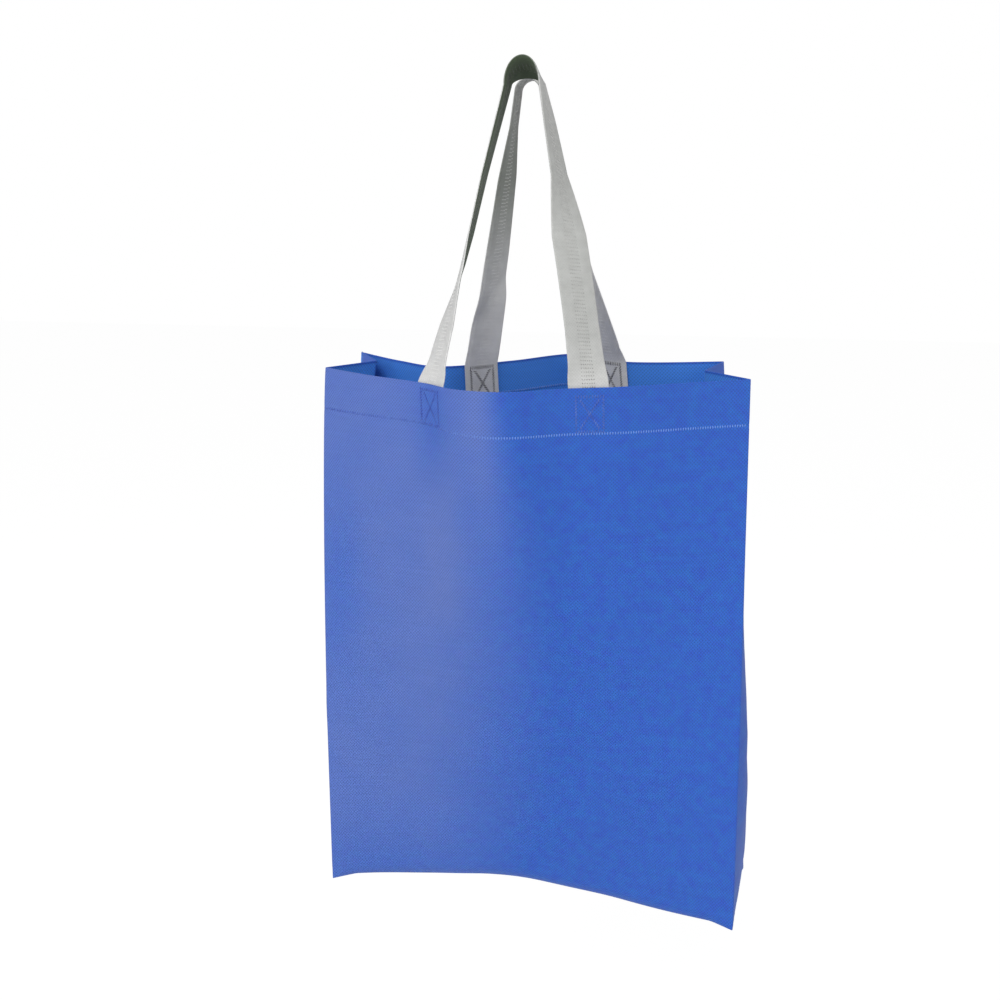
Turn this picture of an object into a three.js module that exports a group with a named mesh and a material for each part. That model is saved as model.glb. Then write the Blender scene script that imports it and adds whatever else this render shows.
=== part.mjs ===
// A non-woven polypropylene carrier bag, hanging empty from its two handles.
//
// The bag is one sheet: it runs down the front, under the bottom and up the back, its sides are
// tucked in as gussets, and its top edge is turned in once as a hem. Each handle is a strip folded
// in three, whose ends are welded to the inside of the hem.
//
// Millimetres, +Z up, +X to the right of someone who faces the front, the front towards -Y.
// The origin is the point on top of the peg, where the handles hang.
import * as THREE from "three";
import { mergeVertices } from "three/addons/utils/BufferGeometryUtils.js";

// The sheet as it was cut and folded.
const PANEL_WIDTH = 365; // front and back, from one side fold to the other
const PANEL_HEIGHT = 420; // rim to bottom fold
const GUSSET_DEPTH = 100; // each side and the bottom, front fold to back fold
const HEM_DEPTH = 40; // how far the top edge is turned in
const SHEET = 0.55; // one layer of the spunbond sheet

// The handles.
const HANDLE_LENGTH = 545; // a whole strip, welded ends included
const HANDLE_WIDTH = 29;
const HANDLE_THICKNESS = 1.5; // three layers and the air between them
// Between the middles of a handle's two ends, along the rim. They are laid on by hand, so the two
// handles differ, and so does how far right of the panel's middle each is welded.
const HANDLE_SPACING = { front: 126.5, back: 138.5 };
const HANDLE_SHIFT = { front: -4.75, back: 23 };
const LAP_CLEARANCE = 3; // from a handle's end to the hem's lower edge
const WELD_GAP = 0.4; // handle to hem
const HANDLE_LAP = HEM_DEPTH - LAP_CLEARANCE; // how far an end reaches down inside the hem

// How the bag hangs, at its mouth and its bottom: the span from corner to corner across the front,
// as a share of the panel width; the opening from front to back, as a share of the gusset depth;
// how far right of the peg its middle hangs, and how far in front of it its front corners; and how
// far right of them the back corners are. The bottom is square, and the mouth is pulled askew.
const MOUTH_SPAN = 0.864;
const MOUTH_OPEN = 0.85;
const MOUTH_ASIDE = 4.7;
const MOUTH_FORWARD = { left: 4, right: 6 };
const MOUTH_SKEW = { left: 5, right: -21 };
const BOTTOM_SPAN = 0.89;
const BOTTOM_OPEN = 0.99;
const BOTTOM_ASIDE = 3.6;
const BOTTOM_FORWARD = { left: 8, right: 33 };
const BOTTOM_SKEW = { left: 7.6, right: 7.6 };
const BOTTOM_SAG = 8;
const SIDE_BOW = 3; // how far the left side fold bows out
const BOW_PLACE = 0.7; // a power: the lower it is, the higher up the fold bows out most
const BIGHT_RADIUS = { front: 12, back: 9 }; // the loops over the peg, to the middle of the strip
const HANDLE_GAP = 5; // between the front and the back handle along the peg

// The lines that the cloth takes in plan between two corners: how far along, and how far
// sideways, both as shares of the straight line between them. Minus is towards the front.
const FRONT_RIM_LINE = [
  [0, 0], [0.14, -0.082], [0.28, -0.149], [0.37, -0.21], [0.48, -0.225], [0.6, -0.17],
  [0.72, -0.13], [0.86, -0.062], [1, 0],
];
const BACK_RIM_LINE = [
  [0, 0], [0.15, -0.11], [0.28, -0.168], [0.44, -0.067], [0.59, 0.054], [0.75, -0.042], [1, 0],
];
const FRONT_BOTTOM_LINE = [[0, 0], [0.12, 0.04], [0.27, 0.058], [0.46, 0.06], [0.7, 0.058], [1, 0]];
const BACK_BOTTOM_LINE = [[0, 0], [0.3, 0.04], [0.55, 0.06], [0.75, 0.04], [1, 0]];
const DEEPEST_WAVE = 4; // how many times as deep as drawn a line's waves may get

// A gusset from the rim (0) to the bottom (1). Its middle fold is tucked right in at the rim, by a
// share of what its cloth allows, and has turned out near the bottom, where the box is open. Each
// half also puffs out by a few millimetres.
const GUSSET_TUCK = [[0, 1], [0.3, 0.85], [0.5, 0.45], [0.65, 0], [0.8, -0.4], [0.92, -0.42], [1, 0]];
const GUSSET_PUFF = [[0, 0], [0.18, 3], [0.5, 7], [0.65, 7], [0.8, 3], [1, 0]];

// How finely the surfaces are divided.
const PANEL_STEPS = 60;
const HALF_GUSSET_STEPS = 3;
const WALL_STEPS = 8;
const HEM_EDGE = 1; // the height of the step from two layers to one

const lerp = THREE.MathUtils.lerp;
const degToRad = THREE.MathUtils.degToRad;

// A line in plan from one corner to another, through the points of a shape. With a length given,
// the waves deepen until the cloth between the corners has that length.
function clothLine(from, to, shape, length) {
  const along = to.clone().sub(from);
  const across = new THREE.Vector2(-along.y, along.x);
  const curve = (wave) =>
    new THREE.SplineCurve(
      shape.map(([a, b]) => from.clone().addScaledVector(along, a).addScaledVector(across, b * wave)),
    );
  if (!length) return curve(1);
  let low = 0;
  let high = DEEPEST_WAVE;
  while (high - low > 1e-9) {
    const wave = (low + high) / 2;
    if (curve(wave).getLength() < length) low = wave;
    else high = wave;
  }
  return curve(low);
}

// The plan outline at one height: the lines of the two panels, and their corners.
function outline(width, depth, aside, forward, skew, frontShape, backShape, clothWidth) {
  const frontLeft = new THREE.Vector2(aside - width / 2, -forward.left);
  const frontRight = new THREE.Vector2(aside + width / 2, -forward.right);
  const backLeft = frontLeft.clone().add(new THREE.Vector2(skew.left, depth));
  const backRight = frontRight.clone().add(new THREE.Vector2(skew.right, depth));
  return {
    front: clothLine(frontLeft, frontRight, frontShape, clothWidth),
    back: clothLine(backLeft, backRight, backShape, clothWidth),
    frontLeft,
  };
}

const rim = outline(
  PANEL_WIDTH * MOUTH_SPAN,
  GUSSET_DEPTH * MOUTH_OPEN,
  MOUTH_ASIDE,
  MOUTH_FORWARD,
  MOUTH_SKEW,
  FRONT_RIM_LINE,
  BACK_RIM_LINE,
  PANEL_WIDTH,
);
const bottom = outline(
  PANEL_WIDTH * BOTTOM_SPAN,
  GUSSET_DEPTH * BOTTOM_OPEN,
  BOTTOM_ASIDE,
  BOTTOM_FORWARD,
  BOTTOM_SKEW,
  FRONT_BOTTOM_LINE,
  BACK_BOTTOM_LINE,
);

// Where the middle of a leg meets the rim, along the cloth from the left fold. The side is -1 on
// the left and 1 on the right, seen from the front.
function handleMiddle(face, side) {
  return (PANEL_WIDTH + side * HANDLE_SPACING[face]) / 2 + HANDLE_SHIFT[face];
}

// The front handle's left leg is the taut one, so it sets how far the rim hangs below the peg.
const peg = { front: -(HANDLE_WIDTH + HANDLE_GAP) / 2, back: (HANDLE_WIDTH + HANDLE_GAP) / 2 };
const tautFoot = rim.front.getPointAt(handleMiddle("front", -1) / PANEL_WIDTH);
const tautRun = tautFoot.distanceTo(new THREE.Vector2(-BIGHT_RADIUS.front, peg.front));
const legLength = (HANDLE_LENGTH - 2 * HANDLE_LAP - Math.PI * BIGHT_RADIUS.front) / 2;
const RIM_Z = -Math.sqrt(legLength ** 2 - tautRun ** 2);

// A point of a wall, from its place on the rim and on the bottom and its depth below the rim.
// Each thread down the cloth keeps its length, so one that slants ends higher.
function wallPoint(rimPoint, bottomPoint, depth) {
  const slant = rimPoint.distanceTo(bottomPoint);
  const drop = Math.sqrt(PANEL_HEIGHT ** 2 - slant ** 2);
  const t = depth / PANEL_HEIGHT;
  const plan = rimPoint.clone().lerp(bottomPoint, t);
  const leftward = Math.max(0, plan.x / rim.frontLeft.x);
  plan.x -= SIDE_BOW * leftward * Math.sin(Math.PI * t ** BOW_PLACE);
  return new THREE.Vector3(plan.x, plan.y, RIM_Z - drop * t);
}

// A point of the front or back panel at a distance along the cloth and a depth below the rim.
function panelPoint(face, along, depth) {
  const u = along / PANEL_WIDTH;
  return wallPoint(rim[face].getPointAt(u), bottom[face].getPointAt(u), depth);
}

// A sheet given as points and faces gets its thickness: outer faces stay where they are, the
// inner ones lie a layer or two further in, and free edges are closed. At a fold the inner point
// moves further, as a mitre does, up to 1 / SHARPEST_MITRE times the thickness.
const SHARPEST_MITRE = 0.4;
function thicken(points, faces, thickness) {
  const normals = points.map(() => new THREE.Vector3());
  const faceNormals = faces.map(([a, b, c]) =>
    new THREE.Triangle(points[a], points[b], points[c]).getNormal(new THREE.Vector3()),
  );
  const touching = points.map(() => []);
  faces.forEach((face, i) => {
    face.forEach((v, k) => {
      const to = points[face[(k + 1) % 3]].clone().sub(points[v]);
      const from = points[face[(k + 2) % 3]].clone().sub(points[v]);
      normals[v].addScaledVector(faceNormals[i], to.angleTo(from));
      touching[v].push(i);
    });
  });
  const inner = points.map((p, v) => {
    const n = normals[v].normalize();
    const facing = touching[v].reduce((sum, i) => sum + n.dot(faceNormals[i]), 0) / touching[v].length;
    return p.clone().addScaledVector(n, -thickness(v) / Math.max(facing, SHARPEST_MITRE));
  });
  const all = [...points, ...inner];
  const shift = points.length;
  const closed = [...faces, ...faces.map(([a, b, c]) => [a + shift, c + shift, b + shift])];
  const edges = new Set(faces.flatMap(([a, b, c]) => [`${a},${b}`, `${b},${c}`, `${c},${a}`]));
  for (const edge of edges) {
    const [a, b] = edge.split(",").map(Number);
    if (edges.has(`${b},${a}`)) continue;
    closed.push([b, a, a + shift], [b, a + shift, b + shift]);
  }
  const geometry = new THREE.BufferGeometry();
  geometry.setAttribute(
    "position",
    new THREE.Float32BufferAttribute(all.flatMap((p) => p.toArray()), 3),
  );
  geometry.setIndex(closed.flat());
  const merged = mergeVertices(geometry);
  merged.computeVertexNormals();
  return merged;
}

// The faces of a grid of points, row by row, each row with the same number of points.
function gridFaces(rows, columns, at) {
  const faces = [];
  for (let j = 0; j < rows - 1; j++) {
    for (let i = 0; i < columns - 1; i++) {
      const corner = at(j, i);
      const opposite = at(j + 1, i + 1);
      faces.push([corner, at(j + 1, i), opposite], [corner, opposite, at(j, i + 1)]);
    }
  }
  return faces;
}

// The value at x of a line through stations.
function shareAt(stations, x) {
  const k = Math.max(1, stations.findIndex(([at]) => at >= x));
  const [x0, y0] = stations[k - 1];
  const [x1, y1] = stations[k];
  return THREE.MathUtils.mapLinear(x, x0, x1, y0, y1);
}

// The points of a gusset at one depth, from one panel's fold up to the other's.
function gussetRow(from, to, depth) {
  const t = depth / PANEL_HEIGHT;
  const apart = from.distanceTo(to) / 2;
  const cloth = Math.sqrt(Math.max(0, (GUSSET_DEPTH / 2) ** 2 - apart ** 2));
  const tuck = cloth * shareAt(GUSSET_TUCK, t);
  const inwards = new THREE.Vector3(from.y - to.y, to.x - from.x, 0).normalize();
  const steps = 2 * HALF_GUSSET_STEPS;
  return Array.from({ length: steps }, (_, i) => {
    const s = i / steps;
    const puff = shareAt(GUSSET_PUFF, t) * Math.abs(Math.sin(2 * Math.PI * s));
    return from.clone().lerp(to, s).addScaledVector(inwards, tuck * (1 - Math.abs(2 * s - 1)) - puff);
  });
}

// The closed ring of points at one depth, in order: front left to right, right gusset, back right
// to left, left gusset.
function wallRow(depth) {
  const places = Array.from({ length: PANEL_STEPS + 1 }, (_, i) => (PANEL_WIDTH * i) / PANEL_STEPS);
  const front = places.map((along) => panelPoint("front", along, depth));
  const back = places.map((along) => panelPoint("back", along, depth)).reverse();
  return [
    ...front.slice(0, PANEL_STEPS),
    ...gussetRow(front[PANEL_STEPS], back[0], depth),
    ...back.slice(0, PANEL_STEPS),
    ...gussetRow(back[PANEL_STEPS], front[0], depth),
  ];
}

function bagBody() {
  const around = 2 * PANEL_STEPS + 4 * HALF_GUSSET_STEPS;
  const hemDepths = [0, HEM_DEPTH / 2, HEM_DEPTH];
  const wallTop = HEM_DEPTH + HEM_EDGE;
  const wallDepths = Array.from({ length: WALL_STEPS }, (_, j) =>
    lerp(wallTop, PANEL_HEIGHT, j / (WALL_STEPS - 1)),
  );
  const depths = [...hemDepths, ...wallDepths];

  const points = depths.flatMap(wallRow);
  const faces = gridFaces(depths.length, around + 1, (j, i) => j * around + (i % around));

  // The bottom joins the last row: its long edges are the front and back folds, its short ones
  // the ends of the gussets.
  const lastRow = (depths.length - 1) * around;
  const across = 2 * HALF_GUSSET_STEPS;
  const at = (j, i) => {
    if (i === 0) return lastRow + ((around - j) % around);
    if (i === PANEL_STEPS) return lastRow + PANEL_STEPS + j;
    if (j === 0) return lastRow + i;
    if (j === across) return lastRow + 2 * PANEL_STEPS + across - i;
    return lastRow + around + (j - 1) * (PANEL_STEPS - 1) + i - 1;
  };
  for (let j = 1; j < across; j++) {
    for (let i = 1; i < PANEL_STEPS; i++) {
      const u = i / PANEL_STEPS;
      const v = j / across;
      const low = points[at(0, i)].clone().lerp(points[at(across, i)], v);
      const ends = points[at(j, 0)].clone().lerp(points[at(j, PANEL_STEPS)], u);
      const inside = Math.min(1, 4 * u, 4 * (1 - u)); // 0 at the gussets, 1 over the middle half
      low.z = lerp(ends.z, low.z, inside) - BOTTOM_SAG * inside * 4 * v * (1 - v);
      points.push(low);
    }
  }
  faces.push(...gridFaces(across + 1, PANEL_STEPS + 1, (j, i) => at(j, i)));

  const hemPoints = hemDepths.length * around;
  return thicken(points, faces, (v) => (v < hemPoints ? 2 * SHEET : SHEET));
}

// How each handle hangs. A leg's pairs tell what share of its turn, from flat on the hem to along
// the peg, it has made at what share of the way up. Its bow is how far it bends away sideways. Over
// the peg the strip tilts (in degrees), stands off the peg by its lift and lies a little aside.
const HANDLES = {
  front_handle: {
    face: "front",
    legs: [
      [[0, 0.05], [0.08, 0.3], [0.2, 0.42], [0.35, 0.77], [0.5, 0.91], [1, 1]],
      [[0, 0], [0.08, 0.24], [0.2, 0.32], [0.5, 0.32], [0.7, 0.79], [0.88, 0.89], [1, 1]],
    ],
    bows: [0.4, 3],
    tilt: -29,
    lift: 8,
    aside: 0,
  },
  back_handle: {
    face: "back",
    legs: [
      [[0, 0], [0.08, 0.19], [0.2, 0.34], [0.35, 0.44], [0.7, 0.67], [0.88, 0.98], [1, 1]],
      [[0, 0], [0.08, 0.08], [0.2, 0.35], [0.35, 0.66], [0.5, 0.79], [0.88, 0.93], [1, 1]],
    ],
    bows: [-0.5, 1],
    tilt: 0,
    lift: HANDLE_THICKNESS,
    aside: -1,
  },
};

const LAP_STEPS = 5;
const LEG_STEPS = 18;
const BIGHT_STEPS = 14;
const ACROSS = [-3, -2, -1, 0, 1, 2, 3].map((k) => k / 6); // places across a strip, in widths

// A row of points across a strip.
function strip(centre, direction) {
  return ACROSS.map((a) => centre.clone().addScaledVector(direction, a * HANDLE_WIDTH));
}

function handle({ face, legs, bows, tilt, lift, aside }) {
  const outward = face === "front" ? -1 : 1;
  const layersIn = 2 * SHEET + WELD_GAP;
  const radius = BIGHT_RADIUS[face];

  // A row of points across the strip where it lies on the inside of the hem.
  const onHem = (middle, depth, flip) =>
    ACROSS.map((a) => {
      const along = middle + a * HANDLE_WIDTH * flip;
      const here = panelPoint(face, along, depth);
      const sideways = panelPoint(face, along + 1, depth).sub(here);
      const down = panelPoint(face, along, depth + 1).sub(here);
      const inward = sideways.cross(down).normalize().multiplyScalar(-outward);
      return here.addScaledVector(inward, layersIn);
    });

  // One leg, from its foot at the rim to its end of the bight.
  const leg = (side, twist, bow) => {
    const middle = handleMiddle(face, side);
    const flip = side * -outward;
    const lap = [];
    for (let j = 0; j <= LAP_STEPS; j++) {
      lap.push(onHem(middle, HANDLE_LAP * (1 - j / LAP_STEPS), flip));
    }
    const foot = lap[LAP_STEPS];
    const across = foot[foot.length - 1].clone().sub(foot[0]);
    const footTurn = Math.atan2(across.y, across.x);
    const pegTurn = Math.PI / 2;
    const from = foot[(ACROSS.length - 1) / 2];
    const to = new THREE.Vector3(aside + side * radius, peg[face], lift - radius);
    const rows = [];
    for (let j = 1; j < LEG_STEPS; j++) {
      const t = j / LEG_STEPS;
      const centre = from.clone().lerp(to, t);
      centre.x += side * bow * Math.sin(Math.PI * t);
      const turn = lerp(footTurn, pegTurn, shareAt(twist, t));
      rows.push(strip(centre, new THREE.Vector3(Math.cos(turn), Math.sin(turn), 0)));
    }
    return [...lap, ...rows];
  };

  const bight = [];
  for (let j = 0; j <= BIGHT_STEPS; j++) {
    const angle = Math.PI * (1 - j / BIGHT_STEPS);
    const tip = degToRad(tilt) * Math.sin(angle);
    const centre = new THREE.Vector3(
      aside + radius * Math.cos(angle),
      peg[face],
      lift - radius + radius * Math.sin(angle),
    );
    bight.push(strip(centre, new THREE.Vector3(0, Math.cos(tip), Math.sin(tip))));
  }
  const rows = [...leg(-1, legs[0], bows[0]), ...bight, ...leg(1, legs[1], bows[1]).reverse()];
  const faces = gridFaces(rows.length, ACROSS.length, (j, i) => j * ACROSS.length + i);
  return thicken(rows.flat(), faces, () => HANDLE_THICKNESS);
}

const spunbondBlue = new THREE.MeshStandardMaterial({ color: 0x4a6dbf, roughness: 0.8, metalness: 0 });
const spunbondGrey = new THREE.MeshStandardMaterial({ color: 0xa8a8a8, roughness: 0.8, metalness: 0 });

function named(name, geometry, material) {
  const mesh = new THREE.Mesh(geometry, material);
  mesh.name = name;
  return mesh;
}

const bag = new THREE.Group();
bag.add(named("bag_body", bagBody(), spunbondBlue));
for (const [name, way] of Object.entries(HANDLES)) bag.add(named(name, handle(way), spunbondGrey));

export default bag;
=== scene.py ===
import math

import bpy
import numpy as np
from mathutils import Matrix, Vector


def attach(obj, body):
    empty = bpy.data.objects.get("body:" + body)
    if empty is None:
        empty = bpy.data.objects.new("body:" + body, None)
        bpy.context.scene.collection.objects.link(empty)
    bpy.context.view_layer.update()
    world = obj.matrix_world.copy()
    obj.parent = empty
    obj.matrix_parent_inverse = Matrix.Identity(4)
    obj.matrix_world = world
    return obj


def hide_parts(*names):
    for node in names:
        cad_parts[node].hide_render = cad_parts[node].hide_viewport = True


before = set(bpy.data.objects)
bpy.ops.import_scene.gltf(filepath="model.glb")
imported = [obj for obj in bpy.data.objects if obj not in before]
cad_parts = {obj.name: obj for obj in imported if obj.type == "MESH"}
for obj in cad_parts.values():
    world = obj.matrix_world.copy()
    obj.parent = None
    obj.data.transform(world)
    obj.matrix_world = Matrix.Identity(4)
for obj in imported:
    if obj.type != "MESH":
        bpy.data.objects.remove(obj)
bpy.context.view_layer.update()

# A non-woven polypropylene carrier bag that hangs empty from its two handles.
# Shapes are worked out in millimetres, in the frame of the CAD model, and turned to metres last.
MM = 0.001
CAMERA_PLACE = (0.1574, -1.0080, -0.0481)
CAMERA_PITCH = 14
CAMERA_TURN = 10
CAMERA_LENS, CAMERA_FRAME = 50.4, 36

# The sheet as it was cut and folded.
PANEL_WIDTH = 365
PANEL_HEIGHT = 420
GUSSET_DEPTH = 100
HEM_DEPTH = 40
HEM_WELD = 32.5  # the welded line, down from the rim
# How far the line strays down, at places round from the front left fold.
HEM_WELD_STRAY = [
    (0, -1.7), (98, -2.9), (165, 1.5), (245, 0.7), (365, 0.4), (480, -6), (600, -8.5), (760, -8.5),
    (830, -5), (930, -1.7),
]
SHEET = 0.45
HEM_FOLD = 0.45  # radius of the turned-over rim
AROUND = 2 * (PANEL_WIDTH + GUSSET_DEPTH)  # all the way round the bag

# The handles.
HANDLE_LENGTH = 545
HANDLE_WIDTH = 29
HANDLE_THICKNESS = 1.4
HANDLE_SPACING = {"front": 126.5, "back": 138.5}  # between the middles of its two ends
HANDLE_SHIFT = {"front": -4.75, "back": 23}  # to the right of the panel's middle
HANDLE_LAP = 37  # how far an end reaches down inside the hem
BIGHT_RADIUS = {"front": 12, "back": 9}
HANDLE_GAP = 5  # between the two handles at their tops

# How the bag hangs, as in the CAD model. The span and the opening are shares of the panel's width
# and the gusset's depth, and the rest of the two outlines shifts their corners. The lines tell how
# far a panel waves, minus towards the front, at what share of its width. The last two tables go by
# share of the panel's height: how much of its slack a gusset tucks in, minus out, and how far its
# halves puff out.
MOUTH = dict(span=0.864, open=0.85, aside=4.7, forward=(4, 6), skew=(5, -21))
BOTTOM = dict(span=0.89, open=0.99, aside=3.6, forward=(8, 33), skew=(7.6, 7.6))
BOTTOM_SAG = 8
SIDE_BOW = 3  # how far the left side bows out
BOW_PLACE = 0.7  # below 1, it bows most above the middle
FRONT_RIM_LINE = [
    (0, 0), (0.14, -0.082), (0.28, -0.149), (0.37, -0.21), (0.48, -0.225), (0.6, -0.17),
    (0.72, -0.13), (0.86, -0.062), (1, 0),
]
BACK_RIM_LINE = [
    (0, 0), (0.15, -0.11), (0.28, -0.168), (0.44, -0.067), (0.59, 0.054), (0.75, -0.042), (1, 0),
]
FRONT_BOTTOM_LINE = [(0, 0), (0.12, 0.04), (0.27, 0.058), (0.46, 0.06), (0.7, 0.058), (1, 0)]
BACK_BOTTOM_LINE = [(0, 0), (0.3, 0.04), (0.55, 0.06), (0.75, 0.04), (1, 0)]
GUSSET_TUCK = [(0, 1), (0.3, 0.85), (0.5, 0.45), (0.65, 0), (0.8, -0.4), (0.92, -0.42), (1, 0)]
GUSSET_PUFF = [(0, 0), (0.18, 3), (0.5, 7), (0.65, 7), (0.8, 3), (1, 0)]

# What the CAD model leaves out: its folds are sharp and its sheet is smooth.
FOLD_SOFTNESS = 1.4  # half the stretch of cloth that a pressed fold takes to turn
ROLL = 10  # the same at the bottom, which was never pressed
ROLL_DROP = 2  # how far the bottom hangs lower, so that its rolled edge ends at the same height
RIPPLE_COUNT = 26
RIPPLE_LENGTHS = (28, 130)
RIPPLE_HEIGHT = 0.0012  # of each ripple's length
GROOVE_DEPTH, GROOVE_WIDTH = 0.12, 2.2  # along the hem's weld


def stations(table, x):
    return np.interp(x, [p[0] for p in table], [p[1] for p in table])


def mix(a, b, share):
    return a + (b - a) * share[..., None]


# ---- the lines that cloth takes in plan


def spline(points, count=1500):
    """A Catmull-Rom curve through plan points, as closely spaced points."""
    points = np.array(points, float)
    last = len(points) - 1
    place = np.linspace(0, last, count)
    k = np.minimum(place.astype(int), last - 1)
    w = (place - k)[:, None]
    p0, p1, p2, p3 = (points[np.clip(k + i, 0, last)] for i in (-1, 0, 1, 2))
    v0, v1 = (p2 - p0) / 2, (p3 - p1) / 2
    return (2 * p1 - 2 * p2 + v0 + v1) * w**3 + (3 * p2 - 3 * p1 - 2 * v0 - v1) * w**2 + v0 * w + p1


def lengths(line):
    return np.concatenate([[0], np.cumsum(np.linalg.norm(np.diff(line, axis=0), axis=1))])


def cloth_line(start, end, shape, length=None):
    """A line from corner to corner whose waves deepen until it has its length of cloth."""
    along = end - start
    across = np.array([-along[1], along[0]])

    def curve(wave):
        return spline([start + a * along + b * wave * across for a, b in shape])

    if length is None:
        return curve(1)
    low, high = 0.0, 4.0
    while high - low > 1e-6:
        wave = (low + high) / 2
        if lengths(curve(wave))[-1] < length:
            low = wave
        else:
            high = wave
    return curve(low)


def at_share(line, share):
    run = lengths(line)
    return np.stack([np.interp(share, run / run[-1], line[:, k]) for k in (0, 1)], -1)


def outline(way, front_shape, back_shape, length=None):
    half = PANEL_WIDTH * way["span"] / 2
    depth = GUSSET_DEPTH * way["open"]
    left = np.array([way["aside"] - half, -way["forward"][0]])
    right = np.array([way["aside"] + half, -way["forward"][1]])
    back_left = left + (way["skew"][0], depth)
    back_right = right + (way["skew"][1], depth)
    return {
        "front": cloth_line(left, right, front_shape, length),
        "back": cloth_line(back_left, back_right, back_shape, length),
        "left": left[0],
    }


RIM = outline(MOUTH, FRONT_RIM_LINE, BACK_RIM_LINE, PANEL_WIDTH)
BASE = outline(BOTTOM, FRONT_BOTTOM_LINE, BACK_BOTTOM_LINE)


def handle_middle(face, side):
    return (PANEL_WIDTH + side * HANDLE_SPACING[face]) / 2 + HANDLE_SHIFT[face]


# The handles hang side by side, and the front one's left leg is the taut one that sets the rim.
TOP_PLACE = {"front": -(HANDLE_WIDTH + HANDLE_GAP) / 2, "back": (HANDLE_WIDTH + HANDLE_GAP) / 2}
taut_foot = at_share(RIM["front"], handle_middle("front", -1) / PANEL_WIDTH)
taut_run = math.dist(taut_foot, (-BIGHT_RADIUS["front"], TOP_PLACE["front"]))
leg_length = (HANDLE_LENGTH - 2 * HANDLE_LAP - math.pi * BIGHT_RADIUS["front"]) / 2
RIM_Z = -math.sqrt(leg_length**2 - taut_run**2)


# ---- the bag's surface, from places on the cloth: how far round from the front left fold, and how
# far down from the rim


def panel(face, share, depth):
    rim = at_share(RIM[face], share)
    base = at_share(BASE[face], share)
    t = depth / PANEL_HEIGHT
    drop = np.sqrt(PANEL_HEIGHT**2 - ((rim - base) ** 2).sum(-1))
    plan = mix(rim, base, t)
    bow = SIDE_BOW * np.maximum(0, plan[..., 0] / RIM["left"]) * np.sin(np.pi * t**BOW_PLACE)
    lower = ROLL_DROP * np.clip(4 * t - 3, 0, 1)
    return np.stack([plan[..., 0] - bow, plan[..., 1], RIM_Z - drop * t - lower], -1)


def gusset(start, end, share, depth):
    t = depth / PANEL_HEIGHT
    apart = np.linalg.norm(end - start, axis=-1) / 2
    tuck = np.sqrt(np.maximum(0, (GUSSET_DEPTH / 2) ** 2 - apart**2)) * stations(GUSSET_TUCK, t)
    puff = stations(GUSSET_PUFF, t) * np.abs(np.sin(2 * np.pi * share))
    inwards = np.stack([start[..., 1] - end[..., 1], end[..., 0] - start[..., 0], 0 * t], -1)
    inwards /= np.linalg.norm(inwards, axis=-1, keepdims=True)
    way_in = tuck * (1 - np.abs(2 * share - 1)) - puff
    return mix(start, end, share) + inwards * way_in[..., None]


def wall(around, depth):
    """The creased wall, with every fold sharp."""
    depth = np.clip(depth, 0, PANEL_HEIGHT).astype(float)
    around, depth = np.broadcast_arrays(np.mod(around, AROUND), depth)
    w, g = PANEL_WIDTH, GUSSET_DEPTH
    zero, one = np.zeros_like(depth), np.ones_like(depth)
    front = panel("front", np.clip(around / w, 0, 1), depth)
    back = panel("back", np.clip((2 * w + g - around) / w, 0, 1), depth)
    front_left, front_right = panel("front", zero, depth), panel("front", one, depth)
    back_left, back_right = panel("back", zero, depth), panel("back", one, depth)
    right = gusset(front_right, back_right, np.clip((around - w) / g, 0, 1), depth)
    left = gusset(back_left, front_left, np.clip((around - 2 * w - g) / g, 0, 1), depth)
    side = np.digitize(around, (w, w + g, 2 * w + g))[..., None]
    return np.choose(side, (front, right, back, left))


def bottom(p, q):
    """The sheet under the bag, p across from the left fold and q back from the front one."""
    u, v = p / PANEL_WIDTH, q / GUSSET_DEPTH
    full = np.full_like(u, PANEL_HEIGHT)
    place = mix(panel("front", u, full), panel("back", u, full), v)
    left = mix(panel("front", 0 * u, full), panel("back", 0 * u, full), v)
    right = mix(panel("front", 0 * u + 1, full), panel("back", 0 * u + 1, full), v)
    inside = np.clip(4 * np.minimum(u, 1 - u), 0, 1)
    level = mix(left, right, u)[..., 2]
    sag = BOTTOM_SAG * inside * 4 * v * (1 - v)
    place[..., 2] = level + (place[..., 2] - level) * inside - sag
    return place


def net(p, q):
    """The bottom and the foot of the walls around it, as if unfolded flat."""
    p, q = np.broadcast_arrays(np.asarray(p, float), np.asarray(q, float))
    w, g = PANEL_WIDTH, GUSSET_DEPTH
    past = np.stack([-q, p - w, q - g, -p])
    around = np.choose(past.argmax(0), (p, w + q, 2 * w + g - p, 2 * w + 2 * g - q))
    beyond = np.maximum(past.max(0), 0)
    flat = bottom(np.clip(p, 0, w), np.clip(q, 0, g))
    return np.where(beyond[..., None] > 0, wall(around, PANEL_HEIGHT - beyond), flat)


def below(around, depth):
    """A place on the cloth that has passed the foot of the wall and runs on along the bottom."""
    w, g = PANEL_WIDTH, GUSSET_DEPTH
    e = depth - PANEL_HEIGHT
    around = np.mod(around, AROUND)
    side = np.digitize(around, (w, w + g, 2 * w + g))
    p = np.choose(side, (around, w - e, 2 * w + g - around, e))
    q = np.choose(side, (e, around - w, g - e, 2 * w + 2 * g - around))
    return net(np.clip(p, 0, w), np.clip(q, 0, g))


SPREAD = np.linspace(-1, 1, 7)  # a fold is rounded by the mean of places this far either way


def to_fold(around):
    """How far a place is from the nearest of the four corner folds."""
    run = np.mod(around, PANEL_WIDTH + GUSSET_DEPTH)
    return np.minimum.reduce([run, np.abs(run - PANEL_WIDTH), PANEL_WIDTH + GUSSET_DEPTH - run])


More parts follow.
